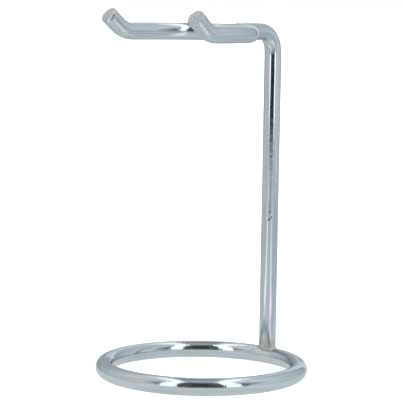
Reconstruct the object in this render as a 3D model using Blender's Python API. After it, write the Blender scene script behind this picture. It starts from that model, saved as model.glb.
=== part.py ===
"""Shaving brush stand: a base ring, an upright post and a cradle fork, bent from round rod and welded.

The frame is +Z up, with the fork opening towards -Y. The origin is the centre of the base ring, at the
height of the surface that it stands on. Lengths are in metres and angles in degrees.
"""

from math import cos, pi, radians, sin

import bmesh
import bpy
from mathutils import Matrix, Vector

# Rod stock, shared by the ring, the post and the fork
ROD_DIAMETER = 0.0052
ROD_RADIUS = ROD_DIAMETER / 2
ROD_SIDES = 20
CUT_CHAMFER = 0.0003
BEND_STEP = 7.5  # degrees of bend for each segment

# Base ring
RING_OUTER_DIAMETER = 0.0629
RING_RADIUS = RING_OUTER_DIAMETER / 2 - ROD_RADIUS  # to the middle of the rod
RING_STEP = 3.0
SEAM_ANGLE = 12.5  # from the post to where the ring's two ends meet
SEAM_GAP = 0.0015

# Upright post
POST_INSET = 0.00035  # its middle stands this far inside the ring rod's middle
POST_Y = RING_RADIUS - POST_INSET
POST_BEND_RADIUS = 0.0055
LEG_HEIGHT = 0.1017  # middle of the post's level leg

# Cradle fork: a tight back, a wider shoulder on each side, straight arms and raised tips
FORK_BACK_Y = 0.0115  # middle of the rod
FORK_HEIGHT = 0.1014  # middle of the rod in its arms, welded a little low on the leg
BACK_RADIUS = 0.01575
BACK_ANGLE = 132.0
SHOULDER_RADIUS = 0.030
SHOULDER_ANGLE = 20.0
ARM_SPLAY = 90 - BACK_ANGLE / 2 - SHOULDER_ANGLE  # outwards, from straight ahead
ARM_LENGTH = 0.0056
TIP_BEND_RADIUS = 0.0084
TIP_ANGLE = 40.0
TIP_LENGTH = 0.0046

# Weld metal
CLEARANCE = 0.0003  # between a rod and the weld metal against it
SEAM_BEAD_PROUD = 0.00015
FOOT_BEAD = Vector((0.0040, 0.0032, 0.0019))  # half sizes of each bead
FOOT_BEAD_HEIGHT = 0.0049
LEG_GAP = 0.001  # between the post's leg and the fork, for weld metal
FORK_BEAD = Vector((0.0032, 0.0019, 0.0025))
FORK_BEAD_OUTSET = 0.0003  # from the fork's surface towards the post

FORWARD = Vector((0, -1, 0))
RIGHT = Vector((1, 0, 0))
UP = Vector((0, 0, 1))


def clear_scene():
    for old in list(bpy.data.objects):
        bpy.data.objects.remove(old, do_unlink=True)


def metal(name, colour, roughness):
    """A metal finish."""
    finish = bpy.data.materials.new(name)
    finish.use_nodes = True
    shader = finish.node_tree.nodes["Principled BSDF"]
    shader.inputs["Base Color"].default_value = (*colour, 1.0)
    shader.inputs["Metallic"].default_value = 1.0
    shader.inputs["Roughness"].default_value = roughness
    return finish


def add_object(name, bm, finish=None):
    """Makes an object of a bmesh, with its normals outwards and its round faces smooth."""
    bmesh.ops.recalc_face_normals(bm, faces=bm.faces)
    mesh = bpy.data.meshes.new(name)
    bm.to_mesh(mesh)
    bm.free()
    mesh.shade_smooth()
    mesh.set_sharp_from_angle(angle=radians(40))
    made = bpy.data.objects.new(name, mesh)
    bpy.context.scene.collection.objects.link(made)
    if finish:
        mesh.materials.append(finish)
    return made


def rod_section(bm, centre, heading, side, radius):
    """The edges of a many-sided section across a rod. Flats face up, down and sideways at the radius."""
    corner_radius = radius / cos(pi / ROD_SIDES)
    top = heading.cross(side)
    corners = []
    for step in range(ROD_SIDES):
        turn = 2 * pi * (step + 0.5) / ROD_SIDES
        corners.append(bm.verts.new(centre + corner_radius * (cos(turn) * side + sin(turn) * top)))
    return [bm.edges.new((a, b)) for a, b in zip(corners, corners[1:] + corners[:1])]


def run_straight(bm, section, heading, length):
    """Draws the section out along its heading and gives the new end section."""
    grown = bmesh.ops.extrude_edge_only(bm, edges=section)["geom"]
    end = [item for item in grown if isinstance(item, bmesh.types.BMVert)]
    bmesh.ops.translate(bm, verts=end, vec=heading * length)
    return [item for item in grown if isinstance(item, bmesh.types.BMEdge)]


def run_bend(bm, section, centre, axis, degrees, step):
    """Spins the section about the bend's axis and gives the new end section."""
    spun = bmesh.ops.spin(
        bm, geom=section, cent=centre, axis=axis, angle=radians(degrees), steps=round(degrees / step)
    )
    return [item for item in spun["geom_last"] if isinstance(item, bmesh.types.BMEdge)]


def bent_rod(name, start, heading, side, moves, radius=ROD_RADIUS, finish=None, step=BEND_STEP):
    """A rod bent as on a wire bender.

    It starts at a point, along a heading. Each move is a length to run straight, or a bend given as
    (degrees, bend radius, the axis that it turns about).
    """
    bm = bmesh.new()
    point, heading = Vector(start), heading.copy()
    first = section = rod_section(bm, point, heading, side, radius)
    for move in moves:
        if isinstance(move, float):
            section = run_straight(bm, section, heading, move)
            point += heading * move
            continue
        degrees, bend_radius, axis = move
        centre = point + axis.cross(heading) * bend_radius
        section = run_bend(bm, section, centre, axis, degrees, step)
        turn = Matrix.Rotation(radians(degrees), 3, axis)
        point, heading = centre + turn @ (point - centre), turn @ heading
    for end in (first, section):
        bmesh.ops.edgeloop_fill(bm, edges=end)
    return add_object(name, bm, finish)


def chamfer_ends(rod):
    """Breaks the sharp edges of a rod's cut ends."""
    chamfer = rod.modifiers.new("end_chamfer", "BEVEL")
    chamfer.width = CUT_CHAMFER
    chamfer.segments = 2
    chamfer.limit_method = "ANGLE"
    chamfer.angle_limit = radians(60)


def hide(helper):
    """Marks an object as a cutter, which is not a part of the stand."""
    helper.hide_render = True
    helper.display_type = "WIRE"
    return helper


def weld_bead(name, centre, half_sizes, rods, finish):
    """A rounded bead of weld metal, cut back so that it clears the rods it joins."""
    bm = bmesh.new()
    bmesh.ops.create_icosphere(bm, subdivisions=3, radius=1.0)
    bmesh.ops.scale(bm, vec=half_sizes, verts=bm.verts)
    bmesh.ops.translate(bm, vec=centre, verts=bm.verts)
    bead = add_object(name, bm, finish)
    for rod in rods:
        cut = bead.modifiers.new("clear_" + rod.name, "BOOLEAN")
        cut.operation = "DIFFERENCE"
        cut.solver = "EXACT"
        cut.object = rod
    return bead


def ring_point(degrees_from_post):
    """A point on the ring's centreline, counted from the post towards -X."""
    turn = radians(90 + degrees_from_post)
    return Vector((RING_RADIUS * cos(turn), RING_RADIUS * sin(turn), ROD_RADIUS))


def base_ring(name, radius=ROD_RADIUS, gap=SEAM_GAP, finish=None):
    """The ring starts at one side of its seam and runs round to the other."""
    open_angle = gap / RING_RADIUS * 180 / pi
    start = ring_point(SEAM_ANGLE + open_angle / 2)
    inwards = Vector((-start.x, -start.y, 0)).normalized()
    round_the_ring = (360 - open_angle, RING_RADIUS, UP)
    return bent_rod(name, start, inwards.cross(UP), inwards, [round_the_ring], radius, finish, RING_STEP)


def ring_seam_weld(finish):
    """A thin disc of weld metal between the ring's two ends, a little proud of the rod."""
    length = SEAM_GAP - 2 * CLEARANCE
    middle = ring_point(SEAM_ANGLE)
    inwards = Vector((-middle.x, -middle.y, 0)).normalized()
    heading = inwards.cross(UP)
    start = middle - heading * length / 2
    bead = bent_rod("ring_seam_weld", start, heading, inwards, [length], ROD_RADIUS + SEAM_BEAD_PROUD, finish)
    chamfer_ends(bead)
    bead.location.z = SEAM_BEAD_PROUD  # its underside is ground level with the ring's
    return bead


def upright_post(name, radius=ROD_RADIUS, end_allowance=0.0, finish=None):
    """The post stands on the ring, then bends forward into a level leg that meets the fork's back."""
    foot = Vector((0, POST_Y, ROD_DIAMETER + CLEARANCE - end_allowance))
    stem = LEG_HEIGHT - POST_BEND_RADIUS - foot.z
    leg_end = FORK_BACK_Y + ROD_RADIUS + LEG_GAP - end_allowance
    leg = POST_Y - POST_BEND_RADIUS - leg_end
    return bent_rod(name, foot, UP, RIGHT, [stem, (90, POST_BEND_RADIUS, RIGHT), leg], radius, finish)


def cradle_fork(name, radius=ROD_RADIUS, finish=None):
    """The fork runs from its right tip, down and back along the arm, and round to its left tip."""
    splay = Matrix.Rotation(radians(ARM_SPLAY), 3, "Z")
    right_side, right_arm = splay @ RIGHT, splay @ FORWARD
    left_side = Vector((-right_side.x, right_side.y, 0))
    shoulder_side = Matrix.Rotation(radians(SHOULDER_ANGLE), 3, "Z") @ right_side
    back_centre = Vector((0, FORK_BACK_Y - BACK_RADIUS, FORK_HEIGHT))
    shoulder_centre = back_centre + (BACK_RADIUS - SHOULDER_RADIUS) * shoulder_side
    arm_front = shoulder_centre + SHOULDER_RADIUS * right_side + ARM_LENGTH * right_arm
    lean = radians(TIP_ANGLE)
    tip_heading = cos(lean) * right_arm + sin(lean) * UP
    tip_bend_end = arm_front + TIP_BEND_RADIUS * (sin(lean) * right_arm + (1 - cos(lean)) * UP)
    right_tip = tip_bend_end + TIP_LENGTH * tip_heading
    shoulder = (SHOULDER_ANGLE, SHOULDER_RADIUS, UP)
    moves = [
        TIP_LENGTH,
        (TIP_ANGLE, TIP_BEND_RADIUS, right_side),
        ARM_LENGTH,
        shoulder,
        (BACK_ANGLE, BACK_RADIUS, UP),
        shoulder,
        ARM_LENGTH,
        (TIP_ANGLE, TIP_BEND_RADIUS, left_side),
        TIP_LENGTH,
    ]
    return bent_rod(name, right_tip, -tip_heading, right_side, moves, radius, finish)


def build_stand():
    chrome = metal("chrome_plated_rod", (0.60, 0.63, 0.66), 0.08)
    weld_chrome = metal("chrome_plated_weld", (0.55, 0.56, 0.56), 0.28)

    base_ring("base_ring", finish=chrome)
    ring_seam_weld(weld_chrome)
    post = upright_post("upright_post", finish=chrome)
    fork = cradle_fork("cradle_fork", finish=chrome)
    chamfer_ends(post)
    chamfer_ends(fork)

    cleared = ROD_RADIUS + CLEARANCE
    ring_cutter = hide(base_ring("ring_cutter", cleared, gap=SEAM_GAP / 2))
    post_cutter = hide(upright_post("post_cutter", cleared, end_allowance=CLEARANCE))
    fork_cutter = hide(cradle_fork("fork_cutter", cleared))
    foot = Vector((0, POST_Y, FOOT_BEAD_HEIGHT))
    weld_bead("post_foot_weld", foot, FOOT_BEAD, [ring_cutter, post_cutter], weld_chrome)
    joint = Vector((0, FORK_BACK_Y + ROD_RADIUS + FORK_BEAD_OUTSET, (FORK_HEIGHT + LEG_HEIGHT) / 2))
    weld_bead("fork_joint_weld", joint, FORK_BEAD, [fork_cutter, post_cutter], weld_chrome)


clear_scene()
build_stand()
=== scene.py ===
"""The looks of the shaving brush stand: plated rods with their welds, in a pale studio.

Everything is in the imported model's frame, in metres, +Z up, with the fork opening towards -Y.
Angles are in degrees unless a name says otherwise.
"""

from math import cos, exp, pi, radians, sin, sqrt, tau

import bpy
import numpy as np
from mathutils import Matrix, Vector, noise


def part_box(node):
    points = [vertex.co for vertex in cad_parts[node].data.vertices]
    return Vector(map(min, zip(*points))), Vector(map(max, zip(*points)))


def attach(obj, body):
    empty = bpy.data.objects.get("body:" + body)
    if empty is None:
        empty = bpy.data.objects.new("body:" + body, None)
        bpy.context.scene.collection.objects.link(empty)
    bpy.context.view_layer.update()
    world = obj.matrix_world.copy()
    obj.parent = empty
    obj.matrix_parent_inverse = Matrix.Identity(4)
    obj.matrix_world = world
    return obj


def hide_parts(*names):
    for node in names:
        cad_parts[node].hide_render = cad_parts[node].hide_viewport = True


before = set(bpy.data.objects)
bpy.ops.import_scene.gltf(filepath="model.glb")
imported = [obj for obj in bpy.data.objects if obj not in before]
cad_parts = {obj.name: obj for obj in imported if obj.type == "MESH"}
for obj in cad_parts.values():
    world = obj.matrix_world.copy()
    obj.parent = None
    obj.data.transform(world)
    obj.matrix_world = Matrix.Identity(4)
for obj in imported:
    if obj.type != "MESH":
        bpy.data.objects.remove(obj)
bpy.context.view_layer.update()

MM = 0.001
FORWARD = Vector((0, -1, 0))
RIGHT = Vector((1, 0, 0))
UP = Vector((0, 0, 1))

# The rods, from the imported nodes' boxes. Heights and distances are to the middle of a rod, and TIPS are
# places close to the fork's two tips, the one at -X first.
RING_LOW, RING_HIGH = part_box("base_ring")
POST_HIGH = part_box("upright_post")[1]
FORK_LOW, FORK_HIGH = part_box("cradle_fork")
ROD_RADIUS = (RING_HIGH.z - RING_LOW.z) / 2
RING_RADIUS = (RING_HIGH.x - RING_LOW.x) / 2 - ROD_RADIUS
POST_Y = POST_HIGH.y - ROD_RADIUS
LEG_HEIGHT = POST_HIGH.z - ROD_RADIUS
TIPS = [Vector((x, FORK_LOW.y, FORK_HIGH.z - ROD_RADIUS)) for x in (FORK_LOW.x, FORK_HIGH.x)]
FORK_BACK_Y = FORK_HIGH.y - ROD_RADIUS
FORK_HEIGHT = FORK_LOW.z + ROD_RADIUS  # a little lower than the leg

# Bends and straights, as in the CAD model, which leaves out the spring in the post and the fork's roll
POST_BEND_RADIUS = 5.5 * MM
SPRING_RADIUS = 25 * MM  # a slight curve below the post's bend, where the rod sprang back
SPRING_ANGLE = 8
BACK_RADIUS = 15.75 * MM
BACK_ANGLE = 132
SHOULDER_RADIUS = 30 * MM
SHOULDER_ANGLE = 20
ARM_SPLAY = 90 - BACK_ANGLE / 2 - SHOULDER_ANGLE
ARM_LENGTH = 5.6 * MM
TIP_BEND_RADIUS = 8.4 * MM
TIP_ANGLE = 40
TIP_LENGTH = 4.6 * MM
FORK_ROLL = 0.3  # it was welded on with its +X side a little low
SEAM_ANGLE = 12.5  # round the ring, from the post towards -X
SEAM_GAP = 0.6 * MM

# Mesh fineness
ROD_SIDES = 96
STRAIGHT_STEP = 0.25 * MM
BEND_STEP = 1.0  # degrees
RING_STEP = 0.6  # degrees
EDGE_STEPS = 8  # round the edge of a cut end
WELD_SIDES = 180
WELD_STEPS = 16  # from one rod to the other across a weld

# How bent, drawn rod departs from a perfect round bar
BEND_FLATTENING = 0.07  # what a bend loses in its own plane, as a share of rod radius over bend radius
EASE_LENGTH = 3 * MM  # over which that flattening fades out
WAVE_LENGTH = 4 * MM
WAVE_INWARDS = 0.6  # how far the waves lie inwards, as a share of their depth
RING_WAVE, POST_WAVE, FORK_WAVE = 0.030 * MM, 0.008 * MM, 0.012 * MM  # depth of each rod's waves
CUT_EDGE_RADIUS = 0.55 * MM
CUT_EDGE_WOBBLE = 0.25  # how uneven that is, as a share of it
CUT_FACE_RINGS = (0.9, 0.7, 0.45, 0.2)  # across a cut face, as shares of its radius
ROLL_OVER = 1.6  # how much rounder the edge is on the side where the shear rolled it over
SUNK = 0.6 * MM  # how far the leg's welded end reaches into the fork

# Towards the side of each tip that the shear rolled over. The shorter this is, the less it rolled it.
RIGHT_TIP_ROLLED = Vector((0.10, 0.05, 0.20))
LEFT_TIP_ROLLED = Vector((0.75, -0.05, -0.66))

# Flaws in the plating halfway up the post: angle round it from +X towards +Y, height, size and depth,
# which is negative for a bump
POST_BLEMISHES = [
    (-58, 45.3 * MM, 0.50 * MM, 0.075 * MM),
    (-66, 46.2 * MM, 0.60 * MM, -0.050 * MM),
    (-36, 46.0 * MM, 0.42 * MM, 0.060 * MM),
    (-40, 47.6 * MM, 0.60 * MM, 0.020 * MM),
    (-70, 47.8 * MM, 0.70 * MM, 0.020 * MM),
]
SCUFF_TURN = -50  # the middle of a dull patch round them
SCUFF_HEIGHT = 48 * MM


# ---------------------------------------------------------------- rods

class Station:
    """A place along a rod: where it is, which way it heads, its side direction and its flattening.

    The flattening is a share of the radius, for the side direction and for the one square to it.
    """

    def __init__(self, point, heading, side, along, flat=(0.0, 0.0)):
        self.point, self.heading, self.side = point.copy(), heading.copy(), side.copy()
        self.along, self.flat = along, flat


def bend_stations(start, heading, side, moves, step=BEND_STEP):
    """The stations of a rod bent as on a wire bender.

    Each move is a length to run straight, or a bend as (degrees, bend radius, the axis it turns about).
    """
    point, heading, side = Vector(start), heading.normalized(), side.normalized()
    along = 0.0
    stations = [Station(point, heading, side, along)]
    for move in moves:
        if isinstance(move, float):
            count = max(1, round(move / STRAIGHT_STEP))
            for _ in range(count):
                point = point + heading * (move / count)
                along += move / count
                stations.append(Station(point, heading, side, along))
            continue
        angle, bend_radius, axis = move
        centre = point + axis.cross(heading) * bend_radius
        count = round(angle / step)
        loss = BEND_FLATTENING * ROD_RADIUS / bend_radius
        flat = (0.0, loss) if abs(axis.dot(side)) > 0.5 else (loss, 0.0)
        turn = Matrix.Rotation(radians(angle / count), 3, axis)
        for _ in range(count):
            point = centre + turn @ (point - centre)
            heading, side = turn @ heading, turn @ side
            along += radians(angle / count) * bend_radius
            stations.append(Station(point, heading, side, along, flat))
    return stations


def ease_bends(stations):
    """Fades each bend's flattening into the straights beside it."""
    along = np.array([station.along for station in stations])
    flat = np.array([station.flat for station in stations])
    for station in stations:
        weight = np.exp(-(((along - station.along) / (EASE_LENGTH / 2)) ** 2))
        station.flat = (weight @ flat / weight.sum()).tolist()


class Skin:
    """A mesh made of rings of vertices, with the position that each vertex had before the rod was bent."""

    def __init__(self, seed, wave_height=0.0, blemishes=()):
        self.points, self.unbent, self.cut, self.faces = [], [], [], []
        self.seed, self.wave_height, self.blemishes = Vector((seed, 0, 0)), wave_height, blemishes

    def wave(self, straight):
        """How far the surface stands off a true cylinder at a place on the straight rod: mostly inwards."""
        height = self.wave_height * (noise.noise(Vector(straight) / WAVE_LENGTH + self.seed) - WAVE_INWARDS)
        for centre, size, depth in self.blemishes:
            height -= depth * exp(-((Vector(straight) - centre).length / size) ** 2)
        return height

    def ring(self, station, radius, along, cut=0.0, wavy=True):
        """Adds a ring of vertices across the rod and gives the index of its first vertex."""
        first = len(self.points)
        side = (1 - station.flat[0]) * station.side
        top = (1 - station.flat[1]) * station.heading.cross(station.side)
        centre = station.point + station.heading * (along - station.along)
        for step in range(ROD_SIDES):
            turn = tau * step / ROD_SIDES
            across = cos(turn) * side + sin(turn) * top
            straight = (radius * cos(turn), radius * sin(turn), along)
            height = self.wave(straight) if wavy else 0.0
            self.points.append(centre + (radius + height) * across)
            self.unbent.append(straight)
            self.cut.append(cut)
        return first

    def round_edge(self, station, outwards, rolled, share):
        """Adds a ring part of the way round the edge of a cut end, which is rounder on its rolled side."""
        first = self.ring(station, ROD_RADIUS, station.along, share, wavy=False)
        turn = pi / 2 * share
        for step in range(ROD_SIDES):
            across = (self.points[first + step] - station.point).normalized()
            edge = CUT_EDGE_RADIUS * (1 + ROLL_OVER * max(across.dot(rolled), 0) ** 2)
            edge *= 1 + CUT_EDGE_WOBBLE * noise.noise(across * 1.6 + self.seed)
            radius = ROD_RADIUS - edge * (1 - cos(turn))
            reach = -outwards * edge * (1 - sin(turn))
            self.points[first + step] = station.point + radius * across + reach * station.heading
            self.unbent[first + step] = (*(radius / ROD_RADIUS * Vector(self.unbent[first + step]).xy),
                                         station.along + reach)
        return first

    def join(self, ring_a, ring_b):
        for step in range(ROD_SIDES):
            after = (step + 1) % ROD_SIDES
            self.faces.append((ring_a + step, ring_a + after, ring_b + after, ring_b + step))

    def cap(self, ring, station, along, cut, backwards):
        """Closes a ring with a fan to its middle."""
        middle = len(self.points)
        self.points.append(station.point + station.heading * (along - station.along))
        self.unbent.append((0.0, 0.0, along))
        self.cut.append(cut)
        for step in range(ROD_SIDES):
            a, b = ring + step, ring + (step + 1) % ROD_SIDES
            self.faces.append((b, a, middle) if backwards else (a, b, middle))

    def finish(self, name):
        made = add_mesh(name, self.points, self.faces)
        unbent = made.data.attributes.new("unbent", "FLOAT_VECTOR", "POINT")
        unbent.data.foreach_set("vector", np.array(self.unbent, np.float32).ravel())
        cut = made.data.attributes.new("cut_face", "FLOAT", "POINT")
        cut.data.foreach_set("value", np.array(self.cut, np.float32))
        return made


def add_mesh(name, points, faces):
    mesh = bpy.data.meshes.new(name)
    mesh.from_pydata([tuple(point) for point in points], [], faces)
    mesh.shade_smooth()
    mesh.update()
    made = bpy.data.objects.new(name, mesh)
    bpy.context.scene.collection.objects.link(made)
    return made


def end_rings(skin, station, outwards, rolled):
    """Rings round the edge of a cut end and across its face, from the rod's side to its middle."""
    rings = []
    for step in range(EDGE_STEPS + 1):
        rings.append(skin.round_edge(station, outwards, rolled, step / EDGE_STEPS))
    face_edge = rings[-1]
    for share in CUT_FACE_RINGS:
        ring = skin.ring(station, share * ROD_RADIUS, station.along, 1.0, wavy=False)
        for step in range(ROD_SIDES):
            skin.points[ring + step] = station.point.lerp(skin.points[face_edge + step], share)
        rings.append(ring)
    return rings


def rod(name, stations, seed, wave_height, rolled=None, blemishes=()):
    """A round rod along its stations.

    Cut ends have rounded edges, which the shear rolled over further towards a direction given for each
    end, in rolled. Without it, the ends are plain, as weld hides them.
    """
    ease_bends(stations)
    skin = Skin(seed, wave_height, blemishes)
    if rolled:
        margin = CUT_EDGE_RADIUS * (1.3 + ROLL_OVER)
        body = [s for s in stations if margin < s.along < stations[-1].along - margin]
        start = end_rings(skin, stations[0], -1, rolled[0])
        end = end_rings(skin, stations[-1], 1, rolled[1])
    else:
        body, start, end = stations, [], []
    middle = [skin.ring(s, ROD_RADIUS, s.along) for s in body]
    rings = start[::-1] + middle + end
    for ring_a, ring_b in zip(rings, rings[1:]):
        skin.join(ring_a, ring_b)
    face = 1.0 if rolled else 0.0
    skin.cap(rings[0], stations[0], stations[0].along, face, True)
    skin.cap(rings[-1], stations[-1], stations[-1].along, face, False)
    return skin.finish(name)


def on_upright(turn, height):
    """A place on the skin of a rod that stands on the origin, at an angle from +X towards +Y."""
    return Vector((ROD_RADIUS * cos(radians(turn)), ROD_RADIUS * sin(radians(turn)), height))


def ring_direction(angle):
    """Outwards from the ring's middle, at an angle from the post towards -X."""
    turn = radians(90 + angle)
    return Vector((cos(turn), sin(turn), 0))


def ring_stations(first_angle, length):
    """Stations round the ring for a length of its rod, from an angle onwards."""
    outwards = ring_direction(first_angle)
    start = outwards * RING_RADIUS + UP * ROD_RADIUS
    angle = length / RING_RADIUS * 360 / tau
    return bend_stations(start, UP.cross(outwards), -outwards, [(angle, RING_RADIUS, UP)], RING_STEP)


def make_ring():
    """The ring's two ends meet at its seam, with weld metal in the gap."""
    half_gap = SEAM_GAP / 2 / RING_RADIUS * 360 / tau
    return rod("ring", ring_stations(SEAM_ANGLE + half_gap, tau * RING_RADIUS - SEAM_GAP), 1, RING_WAVE)


def make_post():
    """The post stands on the ring and bends forward into a level leg, which ends at the fork's back."""
    foot = Vector((0, POST_Y, 2 * ROD_RADIUS))
    spring, wide = radians(SPRING_ANGLE), SPRING_RADIUS - POST_BEND_RADIUS
    stem = LEG_HEIGHT - POST_BEND_RADIUS - foot.z - wide * sin(spring)
    leg = POST_Y - POST_BEND_RADIUS - (FORK_BACK_Y + ROD_RADIUS) + SUNK - wide * (1 - cos(spring))
    moves = [
        stem,
        (SPRING_ANGLE, SPRING_RADIUS, RIGHT),
        (90 - SPRING_ANGLE, POST_BEND_RADIUS, RIGHT),
        leg,
    ]
    blemishes = []
    for turn, height, size, depth in POST_BLEMISHES:
        blemishes.append((on_upright(turn, height - foot.z), size, depth))
    return rod("post", bend_stations(foot, UP, RIGHT, moves), 2, POST_WAVE, blemishes=blemishes)


def make_fork():
    """The fork runs from its right tip, down and back along the arm, and round to its left tip."""
    splay = Matrix.Rotation(radians(ARM_SPLAY), 3, "Z")
    right_side, right_arm = splay @ RIGHT, splay @ FORWARD
    left_side = Vector((-right_side.x, right_side.y, 0))
    shoulder_side = Matrix.Rotation(radians(SHOULDER_ANGLE), 3, "Z") @ right_side
    back_centre = Vector((0, FORK_BACK_Y - BACK_RADIUS, FORK_HEIGHT))
    shoulder_centre = back_centre + (BACK_RADIUS - SHOULDER_RADIUS) * shoulder_side
    arm_front = shoulder_centre + SHOULDER_RADIUS * right_side + ARM_LENGTH * right_arm
    lean = radians(TIP_ANGLE)
    tip_heading = cos(lean) * right_arm + sin(lean) * UP
    tip_bend_end = arm_front + TIP_BEND_RADIUS * (sin(lean) * right_arm + (1 - cos(lean)) * UP)
    right_tip = tip_bend_end + TIP_LENGTH * tip_heading
    shoulder = (SHOULDER_ANGLE, SHOULDER_RADIUS, UP)
    moves = [
        TIP_LENGTH,
        (TIP_ANGLE, TIP_BEND_RADIUS, right_side),
        ARM_LENGTH,
        shoulder,
        (BACK_ANGLE, BACK_RADIUS, UP),
        shoulder,
        ARM_LENGTH,
        (TIP_ANGLE, TIP_BEND_RADIUS, left_side),
        TIP_LENGTH,
    ]
    stations = bend_stations(right_tip, -tip_heading, right_side, moves)
    roll, middle = Matrix.Rotation(radians(FORK_ROLL), 3, "Y"), UP * FORK_HEIGHT
    for station in stations:
        station.point = middle + roll @ (station.point - middle)
        station.heading, station.side = roll @ station.heading, roll @ station.side
    return rod("fork", stations, 3, FORK_WAVE, rolled=(RIGHT_TIP_ROLLED, LEFT_TIP_ROLLED))


# ---------------------------------------------------------------- welds

SEAM_LENGTH = 1.5 * MM
SEAM_PROUD = 0.05 * MM
SEAM_LUMPS = 0.9 * MM  # size of its lumps
BEAD_LUMPS = 0.8 * MM
FINE_LUMPS = 0.35 * MM
WELD_SKIN = 0.03 * MM  # how far a weld's edge dips under the rod's surface
WELD_CORE = 0.5 * MM  # how far its hidden inside reaches into the rods
BULGE_OUT = 0.3 * MM  # how far a full bulge swells a bead outwards
BULGE_UP = 0.1 * MM  # and along the rod that stands in it
TUCK_SWELL = 1.1  # what a bead that tucks in under its rod swells outwards, as a share of the tuck
FOOT_BEAD_HALF_WIDTH = 1.4 * MM  # across the ring


def lumps(point, size, fine_share):
    """The lumpiness of weld metal at a point, round 0: lumps of a size, with a share of finer ones."""
    return noise.noise(point / size) + fine_share * noise.noise(point / FINE_LUMPS)


def make_seam():
    """A narrow band of weld metal round the ring's seam, uneven and a hair proud of the rod."""
    half = SEAM_LENGTH / 2 / RING_RADIUS * 360 / tau
    outwards = ring_direction(SEAM_ANGLE - half)
    start = outwards * RING_RADIUS + UP * ROD_RADIUS
    band = [(2 * half, RING_RADIUS, UP)]
    stations = bend_stations(start, UP.cross(outwards), -outwards, band, 2 * half / WELD_STEPS)
    skin = Skin(seed=4)
    rings = []
    for station in stations:
        first = skin.ring(station, ROD_RADIUS, station.along, wavy=False)
        crown = sin(pi * station.along / stations[-1].along)
        for step in range(ROD_SIDES):
            point = skin.points[first + step]
            proud = SEAM_PROUD * crown * (1 + 0.9 * lumps(point, SEAM_LUMPS, 0.5)) - WELD_SKIN
            point = point + proud * (point - station.point).normalized()
            skin.points[first + step] = Vector((*point.xy, max(point.z, 0)))
        rings.append(first)
    for ring_a, ring_b in zip(rings, rings[1:]):
        skin.join(ring_a, ring_b)
    skin.cap(rings[0], stations[0], stations[0].along, 0.0, True)
    skin.cap(rings[-1], stations[-1], stations[-1].along, 0.0, False)
    return skin.finish("ring_seam")


def weld_bead(name, origin, axis, side, surface, top, reach, bulge, lump):
    """A bead of weld metal all round a rod's end, where it stands on another rod's side.

    axis points from the other rod along this one, and side is square to it. surface(a, b) is how far
    along the axis the other rod's skin lies, at a along side and b across it. At each angle round the
    rod, top is how far along the axis the bead reaches up it, and reach is how far out it spreads.
    bulge is 0 for a hollow bead and 1 for a full one, and lump is the height of its lumps.
    """
    across = axis.cross(side)
    points, faces, loops = [], [], []
    for step in range(WELD_SIDES):
        turn = tau * step / WELD_SIDES
        out = cos(turn) * side + sin(turn) * across

        def place(distance, height):
            return origin + distance * out + height * axis

        def ground(distance):
            return surface(distance * cos(turn), distance * sin(turn))

        top_height, spread = top(turn), reach(turn)
        edge_a = Vector((ROD_RADIUS - WELD_SKIN, top_height))
        edge_b = Vector((spread, ground(spread) - WELD_SKIN))
        corner = Vector((min(ROD_RADIUS, spread), ground(min(ROD_RADIUS, spread))))
        control = corner.lerp((edge_a + edge_b) / 2, bulge)
        tuck = max(ROD_RADIUS - spread, 0)
        control += Vector((bulge * BULGE_OUT + TUCK_SWELL * tuck, bulge * BULGE_UP))
        loop = []
        for part in range(WELD_STEPS + 1):
            share = part / WELD_STEPS
            flat = (1 - share) ** 2 * edge_a + 2 * share * (1 - share) * control + share ** 2 * edge_b
            slope = ((control - edge_a) * (1 - share) + (edge_b - control) * share).normalized()
            spot = place(*flat)
            swell = lump * sin(pi * share) * lumps(spot, BEAD_LUMPS, 0.6)
            flat = flat + swell * Vector((-slope.y, slope.x))
            loop.append(place(*flat))
        loop.append(place(spread - WELD_CORE, ground(spread - WELD_CORE) - WELD_CORE))
        loop.append(place(ROD_RADIUS - WELD_CORE, top_height - WELD_SKIN))
        loops.append(range(len(points), len(points) + len(loop)))
        points += loop
    for loop, after in zip(loops, loops[1:] + loops[:1]):
        for a, b, c, d in zip(loop, [*loop[1:], loop[0]], [*after[1:], after[0]], after):
            faces.append((a, b, c, d))
    return add_mesh(name, points, faces)


def lobe(turn, towards, width):
    """1 at an angle round a rod, fading to 0 away from it."""
    away = (turn - radians(towards) + pi) % tau - pi
    return exp(-(away / radians(width)) ** 2)


def make_foot_bead():
    """The bead round the post's foot, run out along the ring towards -X, where the welder finished.

    It climbs highest on the ring's inner side. There and on the outer side its lower edge tucks in under
    the post, whose foot overhangs the ring's crest.
    """
    def surface(along_x, along_y):
        off_middle = sqrt(along_x ** 2 + (POST_Y + along_y) ** 2) - RING_RADIUS
        return ROD_RADIUS + sqrt(max(ROD_RADIUS ** 2 - off_middle ** 2, 0))

    def top(turn):
        return 2 * ROD_RADIUS + (0.20 + 0.90 * lobe(turn, 275, 70) + 0.10 * sin(5 * turn)) * MM

    def reach(turn):
        along_ring = 0.60 * cos(turn) ** 2 + 0.90 * lobe(turn, 188, 18) + 0.08 * sin(7 * turn)
        tucked_in = FOOT_BEAD_HALF_WIDTH * (1 + 0.06 * sin(5 * turn + 1)) / max(abs(sin(turn)), 0.2)
        return min(ROD_RADIUS + along_ring * MM, tucked_in)

    origin = Vector((0, POST_Y, 0))
    return weld_bead("foot_bead", origin, UP, RIGHT, surface, top, reach, bulge=0.70, lump=0.24 * MM)


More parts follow.
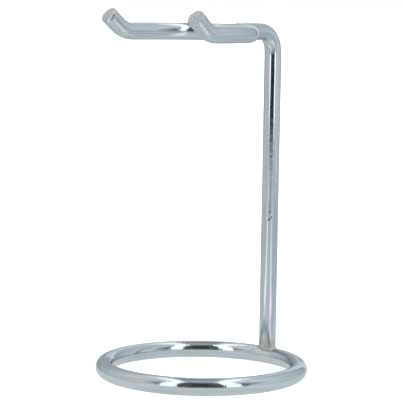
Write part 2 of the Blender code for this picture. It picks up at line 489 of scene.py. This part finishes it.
def make_fork_bead():
    """The bead between the leg's end and the fork's back."""
    def surface(along_x, along_z):
        above = LEG_HEIGHT + along_z - FORK_HEIGHT
        off_middle = BACK_RADIUS + sqrt(max(ROD_RADIUS ** 2 - above ** 2, 0))
        return FORK_BACK_Y - BACK_RADIUS + sqrt(off_middle ** 2 - along_x ** 2)

    def top(turn):
        return FORK_BACK_Y + ROD_RADIUS + (0.5 + 0.1 * sin(4 * turn + 1)) * MM

    def reach(turn):
        return ROD_RADIUS + (0.45 * cos(turn) ** 2 - 0.12 * sin(turn) ** 2 + 0.05 * sin(6 * turn)) * MM

    origin = Vector((0, 0, LEG_HEIGHT))
    return weld_bead("fork_bead", origin, -FORWARD, RIGHT, surface, top, reach, bulge=0.35, lump=0.1 * MM)


# ---------------------------------------------------------------- materials

class Finish:
    """A material, with short ways to add nodes to it."""

    def __init__(self, name):
        self.material = bpy.data.materials.new(name)
        self.material.use_nodes = True
        self.tree = self.material.node_tree
        self.shader = self.tree.nodes["Principled BSDF"]

    def node(self, kind, inputs=None, **settings):
        made = self.tree.nodes.new("ShaderNode" + kind)
        for name, value in settings.items():
            setattr(made, name, value)
        for name, value in (inputs or {}).items():
            self.plug(made.inputs[name], value)
        return made

    def plug(self, socket, value):
        if isinstance(value, bpy.types.NodeSocket):
            self.tree.links.new(value, socket)
        else:
            socket.default_value = value

    def noise(self, at, size, detail=2.0, roughness=0.5):
        """Noise from 0 to 1, with features of about a size in metres."""
        inputs = {"Vector": at, "Scale": 1 / size, "Detail": detail, "Roughness": roughness}
        return self.node("TexNoise", inputs).outputs["Fac"]

    def stretch(self, at, scale):
        return self.node("Mapping", {"Vector": at, "Scale": scale}).outputs["Vector"]

    def math(self, operation, a, b, clamp=False):
        return self.node("Math", {0: a, 1: b}, operation=operation, use_clamp=clamp).outputs[0]

    def times(self, a, b, clamp=False):
        return self.math("MULTIPLY", a, b, clamp)

    def plus(self, a, b):
        return self.math("ADD", a, b)

    def ramp(self, value, low, high, to_low=0.0, to_high=1.0):
        """Maps a range of values to another, smoothly and held at its ends."""
        inputs = {"Value": value, "From Min": low, "From Max": high, "To Min": to_low, "To Max": to_high}
        return self.node("MapRange", inputs, interpolation_type="SMOOTHSTEP").outputs["Result"]

    def mix(self, share, a, b):
        made = self.node("Mix", data_type="RGBA")
        for socket, value in ((made.inputs[0], share), (made.inputs[6], a), (made.inputs[7], b)):
            self.plug(socket, value)
        return made.outputs[2]

    def near(self, at, point, inner, outer):
        """1 within a distance of a point, fading to 0 at a further one."""
        inputs = {0: at, 1: tuple(point)}
        distance = self.node("VectorMath", inputs, operation="DISTANCE").outputs["Value"]
        return self.ramp(distance, inner, outer, 1.0, 0.0)

    def bump(self, height, metres, normal=None):
        """Bump from a height of 0 to 1 that stands for a height in metres."""
        inputs = {"Height": height, "Distance": metres, "Strength": 1.0}
        if normal:
            inputs["Normal"] = normal
        return self.node("Bump", inputs).outputs["Normal"]

    def attribute(self, name):
        return self.node("Attribute", attribute_name=name)

    def place(self):
        return self.node("TexCoord").outputs["Object"]

    def plated(self, colour, roughness, normal):
        """Makes it bare metal of a colour, and gives the finished material."""
        for name, value in (("Base Color", colour), ("Roughness", roughness), ("Normal", normal)):
            self.plug(self.shader.inputs[name], value)
        self.shader.inputs["Metallic"].default_value = 1.0
        return self.material


CHROME_GREEN = (0.594, 0.682, 0.693, 1)  # bright plating varies from this
CHROME_LILAC = (0.672, 0.675, 0.726, 1)  # to this
CHROME_DULL = (0.472, 0.528, 0.560, 1)
EDGE_TINT = (0.88, 0.90, 0.91, 1)  # what is left of the reflection where the surface turns away
CUT_CHROME = (0.682, 0.709, 0.743, 1)
CUT_DARK = (0.472, 0.499, 0.527, 1)
HEAT_TINT = (0.486, 0.446, 0.385, 1)
FOOT_PAINTED_LIGHT = (0.729, 0.756, 0.743, 1)  # pale patches of painted light over the ring round the post's foot
WELD_CHROME = (0.581, 0.621, 0.621, 1)
SEAM_CHROME = (0.621, 0.675, 0.716, 1)
# The fork bead's plating, made brighter than plating is, as a painted highlight on the bead
JOINT_CHROME_PAINTED_HIGHLIGHT = (0.810, 0.851, 0.878, 1)
PIT = (0.162, 0.162, 0.162, 1)


def rod_chrome(name, banding, smooth_length=0.0, foot_stain_and_light=HEAT_TINT, foot_reach=4.4 * MM):
    """Bright plating over drawn rod: faint draw lines, slight orange peel, haze and a few pits.

    banding is how strongly the draw lines dull it. The peel is fainter along a first, smooth length. Near
    the post's foot it takes a tint in patches: a heat stain on the post, and pale painted light on the
    ring.
    """
    finish = Finish(name)
    unbent = finish.attribute("unbent").outputs["Vector"]
    cut = finish.attribute("cut_face").outputs["Fac"]
    at = finish.place()

    # Patterns along the unbent rod, from 0 to 1
    lines = finish.noise(finish.stretch(unbent, (1, 1, 0.02)), 0.18 * MM, 3.0, 0.6)
    bands = finish.noise(finish.stretch(unbent, (1, 1, 0.03)), 0.55 * MM, 2.0)
    peel = finish.noise(unbent, 1.1 * MM, 3.0)
    mottle = finish.noise(unbent, 0.5 * MM, 2.0, 0.6)
    haze = finish.noise(finish.stretch(unbent, (1, 1, 0.3)), 5 * MM, 3.0)
    cast = finish.noise(finish.stretch(unbent, (1, 1, 0.15)), 1.3 * MM, 2.0)
    cut_marks = finish.noise(finish.stretch(unbent, (1, 0.2, 1)), 0.40 * MM, 3.0, 0.6)
    cells = finish.node("TexVoronoi", {"Vector": unbent, "Scale": 1 / (2.6 * MM)})
    pits = finish.ramp(cells.outputs["Distance"], 0.030, 0.055, 1.0, 0.0)

    # Places on the stand, from 0 away from them to 1 on them
    scuffed = Vector((0, POST_Y, 0)) + on_upright(SCUFF_TURN, SCUFF_HEIGHT)
    foot = finish.near(at, Vector((0, POST_Y, 2 * ROD_RADIUS)), 2.7 * MM, foot_reach)
    scuff = finish.near(at, scuffed, 1.4 * MM, 3.2 * MM)
    # Painted shade round the leg's joint with the fork, on both rods
    joint_shade = finish.near(at, Vector((0, FORK_BACK_Y + 3 * ROD_RADIUS, LEG_HEIGHT)), 4.0 * MM, 8.0 * MM)
    tips = finish.plus(*[finish.near(at, tip, 4 * MM, 10 * MM) for tip in TIPS])
    # Patches round the post's foot: a heat stain on the post, and pale painted light on the ring
    stain_and_light = finish.times(foot, finish.noise(at, 0.9 * MM, 3.0, 0.6))
    pebbles = finish.times(tips, finish.ramp(mottle, 0.35, 0.65))
    ground_tip = finish.times(finish.near(at, TIPS[1], 2 * MM, 5 * MM), finish.ramp(cut, 0.0, 0.3))

    colour = finish.mix(finish.ramp(cast, 0.35, 0.65), CHROME_GREEN, CHROME_LILAC)
    # What dulls the plating, and the painted shade round the leg's joint with the fork
    dulling_and_shade = [
        finish.ramp(haze, 0.35, 0.75, 0.0, 0.35),
        finish.ramp(bands, 0.40, 0.70, 0.0, banding),
        finish.ramp(lines, 0.45, 0.75, 0.0, 0.25),
        finish.times(pebbles, 0.8),
        finish.times(joint_shade, 0.6),
        finish.times(scuff, 0.4),
    ]
    for share in dulling_and_shade:
        colour = finish.mix(share, colour, CHROME_DULL)
    # Mixes in those patches: the heat stain, and on the ring pale painted light
    colour = finish.mix(finish.times(stain_and_light, 1.4, clamp=True), colour, foot_stain_and_light)
    colour = finish.mix(finish.times(pits, 0.6), colour, PIT)
    face = finish.mix(finish.ramp(cut_marks, 0.38, 0.62), CUT_DARK, CUT_CHROME)
    colour = finish.mix(finish.ramp(cut, 0.75, 1.0), colour, face)

    roughness = finish.ramp(haze, 0.35, 0.75, 0.045, 0.11)
    for share, added in ((lines, 0.03), (foot, 0.10), (tips, 0.10), (scuff, 0.16), (ground_tip, 0.35)):
        roughness = finish.plus(roughness, finish.times(share, added))
    roughness = finish.plus(roughness, finish.ramp(cut, 0.6, 1.0, 0.0, 0.16))

    if smooth_length:
        along = finish.node("SeparateXYZ", {0: unbent}).outputs["Z"]
        peel = finish.times(peel, finish.ramp(along, 0.8 * smooth_length, smooth_length, 0.25, 0.6))
    normal = None
    for height, metres in (
        (peel, 0.030 * MM),
        (bands, 0.010 * MM),
        (lines, 0.0020 * MM),
        (pebbles, 0.02 * MM),
        (finish.times(cut_marks, cut), 0.02 * MM),
    ):
        normal = finish.bump(height, metres, normal)
    finish.shader.inputs["Specular Tint"].default_value = EDGE_TINT
    return finish.plated(colour, roughness, normal)


def weld_chrome(name, plating, tint, tint_share, tint_from=0.0):
    """Plating over weld metal: rougher than on the rod, in patches of its own colour and a tint.

    The tint is only above a height, where one is given.
    """
    finish = Finish(name)
    at = finish.place()
    patches = finish.noise(at, 0.7 * MM, 3.0, 0.6)
    grain = finish.noise(at, 0.12 * MM, 3.0, 0.6)
    share = finish.ramp(patches, 0.35, 0.65, 0.0, tint_share)
    if tint_from:
        height = finish.node("SeparateXYZ", {0: at}).outputs["Z"]
        share = finish.times(share, finish.ramp(height, tint_from, tint_from + 0.4 * MM))
    colour = finish.mix(share, plating, tint)
    colour = finish.mix(finish.ramp(grain, 0.55, 0.75, 0.0, 0.5), colour, PIT)
    roughness = finish.ramp(patches, 0.3, 0.7, 0.16, 0.32)
    return finish.plated(colour, roughness, finish.bump(grain, 0.02 * MM))


# ---------------------------------------------------------------- studio and camera

CAMERA_AZIMUTH = 45.068
CAMERA_DISTANCE = 547.708 * MM  # level, from the ring's middle
CAMERA_HEIGHT = 111.872 * MM
CAMERA_PITCH = 6.242  # downwards
CAMERA_YAW = 0.072
CAMERA_ROLL = 0.907
CAMERA_LENS = 167.46  # millimetres
SENSOR_WIDTH = 36  # millimetres

FLOOR_SIZE = 40
FLOOR_GLOW = 0.95

# The light tent round the stand, measured from the ring's middle. Its front is on the camera's side, and
# its sides run along the camera's view.
TENT_FRONT = 0.55
TENT_BACK = 1.10
TENT_SIDE = 0.65
TENT_HEIGHT = 1.15
LAYER = 0.002  # between one card and the next behind it
FLOOR_LAYER_SHARE = 0.01  # of that, between the cards on the floor
FLOOR_DEPTH = 0.001  # below the floor that the camera sees
TENT_LEVEL = 0.74  # multiplies the brightness of every card


def make_camera():
    data = bpy.data.cameras.new("camera")
    data.sensor_width = SENSOR_WIDTH
    data.lens = CAMERA_LENS
    data.clip_start, data.clip_end = 0.01, 100
    camera = bpy.data.objects.new("camera", data)
    bpy.context.scene.collection.objects.link(camera)
    azimuth = radians(CAMERA_AZIMUTH)
    camera.location = CAMERA_DISTANCE * Vector((sin(azimuth), -cos(azimuth), 0)) + CAMERA_HEIGHT * UP
    turn = Matrix.Rotation(radians(CAMERA_AZIMUTH + CAMERA_YAW), 3, "Z")
    tilt = Matrix.Rotation(radians(90 - CAMERA_PITCH), 3, "X")
    roll = Matrix.Rotation(radians(CAMERA_ROLL), 3, "Z")
    camera.rotation_euler = (turn @ tilt @ roll).to_euler()
    bpy.context.scene.camera = camera


WALLS = {
    "front": lambda a, b, depth: (a, depth - TENT_FRONT, b),
    "back": lambda a, b, depth: (a, TENT_BACK - depth, b),
    "left": lambda a, b, depth: (depth - TENT_SIDE, a, b),
    "right": lambda a, b, depth: (TENT_SIDE - depth, a, b),
    "ceiling": lambda a, b, depth: (a, b, TENT_HEIGHT - depth),
    "floor": lambda a, b, depth: (a, b, depth * FLOOR_LAYER_SHARE - FLOOR_DEPTH),
}

# The cards' tints
BLUE_GREY = (0.92, 1.0, 1.06)
GREY = (1.0, 1.0, 1.0)
INK = (0.70, 1.0, 1.40)
WARM_BLACK = (1.05, 0.95, 1.1)
FLOOR_GREY = (0.98, 1.01, 1.03)
FLOOR_GREEN = (0.95, 1.02, 1.01)
FLOOR_BLUE = (0.93, 1.01, 1.06)
STRIP_LILAC = (1.05, 1.0, 1.10)

# Each card: the wall, its span along the wall at its foot and at its head, its foot and head, and its
# brightness at the four corners from the start of its foot round to the start of its head, and its
# tint. Along a side or the ceiling, a span or a rise runs away from the camera. A later card lies in
# front of an earlier one. The places and brightnesses follow what the real stand's plating reflects.
TENT = [
    ("front", (-0.65, 0.65), (-0.65, 0.65), (0.0, 1.15), (0.90, 0.75, 1.00, 1.20), GREY),
    ("front", (-0.62, -0.48), (-0.62, -0.57), (0.12, 0.50), (0.70, 0.60, 1.10, 0.80), GREY),
    ("front", (0.49, 0.62), (0.55, 0.65), (0.10, 0.70), (0.35, 0.50, 0.60, 0.90), BLUE_GREY),
    ("front", (-0.49, -0.275), (-0.58, -0.275), (0.025, 1.15), (2.2, 2.2, 2.6, 2.6), GREY),
    ("front", (0.265, 0.49), (0.265, 0.58), (0.025, 1.15), (2.1, 2.1, 2.6, 2.6), GREY),
    ("front", (-0.27, 0.26), (-0.26, 0.255), (0.012, 0.035), (0.70, 0.65, 0.10, 0.12), BLUE_GREY),
    ("front", (-0.265, 0.255), (-0.265, 0.255), (0.035, 0.085), (0.045, 0.045, 0.035, 0.045), INK),
    ("front", (-0.265, 0.255), (-0.265, 0.255), (0.085, 0.11), (0.42, 0.40, 0.30, 0.40), GREY),
    ("front", (-0.265, 0.255), (-0.27, 0.25), (0.11, 0.65), (0.16, 0.12, 0.20, 0.14), BLUE_GREY),
    ("front", (-0.09, 0.13), (-0.09, 0.10), (0.13, 0.65), (0.08, 0.07, 0.08, 0.10), WARM_BLACK),
    ("front", (-0.27, 0.25), (-0.25, 0.20), (0.65, 1.15), (0.15, 0.24, 0.42, 0.32), BLUE_GREY),
    ("ceiling", (-0.65, 0.65), (-0.65, 0.65), (-0.55, 1.10), (1.25, 1.20, 0.88, 0.93), GREY),
    ("ceiling", (-0.24, 0.23), (-0.21, 0.19), (-0.55, -0.40), (0.48, 0.50, 0.72, 0.70), BLUE_GREY),
    ("ceiling", (-0.21, 0.19), (-0.21, 0.18), (-0.40, -0.12), (0.75, 0.75, 0.88, 0.85), BLUE_GREY),
    ("ceiling", (-0.21, 0.18), (-0.18, 0.18), (-0.12, 0.25), (0.85, 0.88, 0.62, 0.38), BLUE_GREY),
    ("ceiling", (-0.18, 0.18), (-0.17, 0.15), (0.25, 0.50), (0.38, 0.60, 0.52, 0.32), BLUE_GREY),
    ("ceiling", (-0.17, 0.15), (-0.14, 0.12), (0.50, 1.10), (0.34, 0.52, 0.72, 0.60), BLUE_GREY),
    ("ceiling", (-0.50, -0.28), (-0.47, -0.25), (-0.55, -0.25), (2.5, 2.3, 2.4, 2.2), GREY),
    ("ceiling", (-0.47, -0.25), (-0.45, -0.23), (-0.25, 0.40), (2.2, 2.4, 1.9, 1.7), GREY),
    ("ceiling", (-0.45, -0.23), (-0.42, -0.19), (0.40, 1.10), (1.7, 1.9, 1.0, 0.9), GREY),
    ("ceiling", (0.29, 0.54), (0.235, 0.47), (-0.55, -0.35), (2.4, 2.6, 2.5, 2.4), GREY),
    ("ceiling", (0.235, 0.47), (0.20, 0.44), (-0.35, 0.40), (2.5, 2.4, 1.8, 2.1), GREY),
    ("ceiling", (0.20, 0.44), (0.17, 0.40), (0.40, 1.10), (2.0, 1.7, 0.9, 1.0), GREY),
    ("left", (-0.55, 0.25), (-0.55, 0.25), (0.0, 1.15), (0.98, 0.95, 1.18, 1.10), GREY),
    ("left", (0.25, 1.10), (0.25, 1.10), (0.0, 1.15), (0.93, 0.55, 0.92, 1.17), BLUE_GREY),
    ("right", (-0.55, -0.25), (-0.55, -0.25), (0.0, 1.15), (0.85, 1.12, 1.28, 0.95), GREY),
    ("right", (-0.25, 0.30), (-0.25, 0.30), (0.0, 1.15), (1.12, 0.95, 1.05, 1.25), BLUE_GREY),
    ("right", (0.30, 1.10), (0.30, 1.10), (0.0, 1.15), (0.93, 0.55, 0.85, 1.05), BLUE_GREY),
    ("back", (-0.65, 0.65), (-0.65, 0.65), (0.0, 1.15), (0.62, 0.60, 0.90, 0.95), BLUE_GREY),
    ("back", (-0.05, 0.50), (-0.05, 0.50), (0.20, 1.05), (1.00, 1.30, 1.35, 1.25), BLUE_GREY),
    ("back", (0.30, 0.55), (0.20, 0.50), (0.01, 0.20), (1.25, 1.30, 1.30, 1.15), GREY),
    ("front", (0.56, 0.65), (0.57, 0.65), (0.18, 0.66), (0.10, 0.12, 0.35, 0.20), BLUE_GREY),
    ("front", (-0.65, -0.56), (-0.65, -0.57), (0.20, 0.78), (0.25, 0.22, 0.40, 0.50), GREY),
    ("left", (-0.55, -0.25), (-0.55, -0.30), (0.20, 0.70), (0.28, 0.95, 1.00, 0.40), GREY),
    ("right", (-0.55, -0.15), (-0.55, -0.25), (0.18, 0.75), (0.14, 0.85, 1.05, 0.45), BLUE_GREY),
    ("floor", (-0.65, 0.65), (-0.65, 0.65), (-0.55, 1.10), (0.88, 0.80, 0.95, 0.97), FLOOR_GREY),
    ("floor", (0.02, 0.30), (0.02, 0.20), (0.00, 0.35), (0.98, 0.88, 0.86, 0.92), FLOOR_BLUE),
    ("floor", (-0.30, -0.02), (-0.20, 0.02), (0.00, 0.35), (0.86, 0.95, 0.92, 0.84), FLOOR_GREEN),
    ("floor", (-0.25, 0.25), (-0.05, 0.05), (-0.55, -0.05), (0.84, 0.80, 0.98, 0.98), FLOOR_GREEN),
    ("floor", (-0.33, -0.255), (-0.12, -0.075), (-0.55, -0.05), (0.90, 1.80, 1.90, 1.00), STRIP_LILAC),
    ("floor", (-0.255, -0.19), (-0.075, -0.03), (-0.55, -0.05), (1.80, 0.84, 0.98, 1.90), STRIP_LILAC),
    ("floor", (0.19, 0.265), (0.03, 0.075), (-0.55, -0.05), (0.80, 1.35, 1.80, 0.98), STRIP_LILAC),
    ("floor", (0.265, 0.34), (0.075, 0.12), (-0.55, -0.05), (1.35, 0.76, 1.00, 1.80), STRIP_LILAC),
    ("floor", (-0.07, -0.02), (-0.05, -0.02), (-0.05, 0.06), (1.30, 1.18, 1.00, 1.00), FLOOR_GREEN),
    ("floor", (-0.02, 0.02), (-0.02, 0.02), (-0.05, 0.06), (1.08, 1.08, 1.00, 1.00), FLOOR_GREEN),
    ("floor", (0.02, 0.07), (0.02, 0.05), (-0.05, 0.06), (1.18, 1.30, 1.00, 1.00), FLOOR_GREEN),
]


def white_floor():
    """A white sheet that glows evenly."""
    material = bpy.data.materials.new("pale_floor")
    material.use_nodes = True
    shader = material.node_tree.nodes["Principled BSDF"]
    shader.inputs["Base Color"].default_value = (0.8, 0.8, 0.8, 1)
    shader.inputs["Roughness"].default_value = 0.9
    shader.inputs["Emission Color"].default_value = (1, 1, 1, 1)
    shader.inputs["Emission Strength"].default_value = FLOOR_GLOW
    return material


def make_tent():
    """The cards of the light tent, which only the plating sees."""
    points, faces, glow = [], [], []
    for layer, (wall, foot, head, rise, brightness, tint) in enumerate(TENT):
        first = len(points)
        corners = ((foot[0], rise[0]), (foot[1], rise[0]), (head[1], rise[1]), (head[0], rise[1]))
        for (across, up), level in zip(corners, brightness):
            points.append(WALLS[wall](across, up, LAYER * layer))
            glow.append([TENT_LEVEL * level * part for part in tint] + [1.0])
        faces.append(tuple(range(first, first + 4)))
    tent = add_mesh("light_tent", points, faces)
    colours = tent.data.color_attributes.new("glow", "FLOAT_COLOR", "POINT")
    colours.data.foreach_set("color", np.array(glow, np.float32).ravel())
    material = bpy.data.materials.new("tent_glow")
    material.use_nodes = True
    nodes, links = material.node_tree.nodes, material.node_tree.links
    nodes.remove(nodes["Principled BSDF"])
    source = nodes.new("ShaderNodeAttribute")
    source.attribute_name = "glow"
    emission = nodes.new("ShaderNodeEmission")
    links.new(source.outputs["Color"], emission.inputs["Color"])
    links.new(emission.outputs["Emission"], nodes["Material Output"].inputs["Surface"])
    tent.data.materials.append(material)
    tent.rotation_euler.z = radians(CAMERA_AZIMUTH)
    tent.visible_camera = tent.visible_diffuse = tent.visible_shadow = False
    tent.visible_transmission = tent.visible_volume_scatter = False


def make_studio():
    world = bpy.data.worlds.new("studio")
    world.use_nodes = True
    world.node_tree.nodes["Background"].inputs["Color"].default_value = (1.0, 1.0, 1.0, 1)
    bpy.context.scene.world = world
    bpy.context.scene.view_settings.view_transform = "Standard"
    bpy.ops.mesh.primitive_plane_add(size=FLOOR_SIZE)
    floor = bpy.context.object
    floor.name = "floor"
    floor.data.materials.append(white_floor())
    floor.visible_glossy = False  # the plating sees the tent's own floor
    make_tent()


# ---------------------------------------------------------------- the stand

# The ring takes pale patches of painted light round the post's foot
ring_chrome = rod_chrome("ring_chrome", banding=0.60, foot_stain_and_light=FOOT_PAINTED_LIGHT, foot_reach=4.8 * MM)
post_chrome = rod_chrome("post_chrome", banding=0.50, smooth_length=40 * MM)
fork_chrome = rod_chrome("fork_chrome", banding=0.45)
stained_weld = weld_chrome("stained_weld", WELD_CHROME, HEAT_TINT, 1.0, tint_from=2 * ROD_RADIUS - 0.1 * MM)
seam_weld = weld_chrome("seam_weld", SEAM_CHROME, CHROME_DULL, 0.3)
# The fork bead's plating is bright enough to carry a painted highlight
joint_weld = weld_chrome("joint_weld", JOINT_CHROME_PAINTED_HIGHLIGHT, SEAM_CHROME, 0.4)
PIECES = [
    (make_ring(), "base_ring", "chrome_rod", ring_chrome),
    (make_post(), "upright_post", "chrome_rod", post_chrome),
    (make_fork(), "cradle_fork", "chrome_rod", fork_chrome),
    (make_seam(), "ring_seam_weld", "chrome_weld", seam_weld),
    (make_foot_bead(), "post_foot_weld", "chrome_weld", stained_weld),
    (make_fork_bead(), "fork_joint_weld", "chrome_weld", joint_weld),
]
for piece, node, slot, material in PIECES:
    piece.data.materials.append(material)
    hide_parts(node)
    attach(piece, "root")
make_camera()
make_studio()
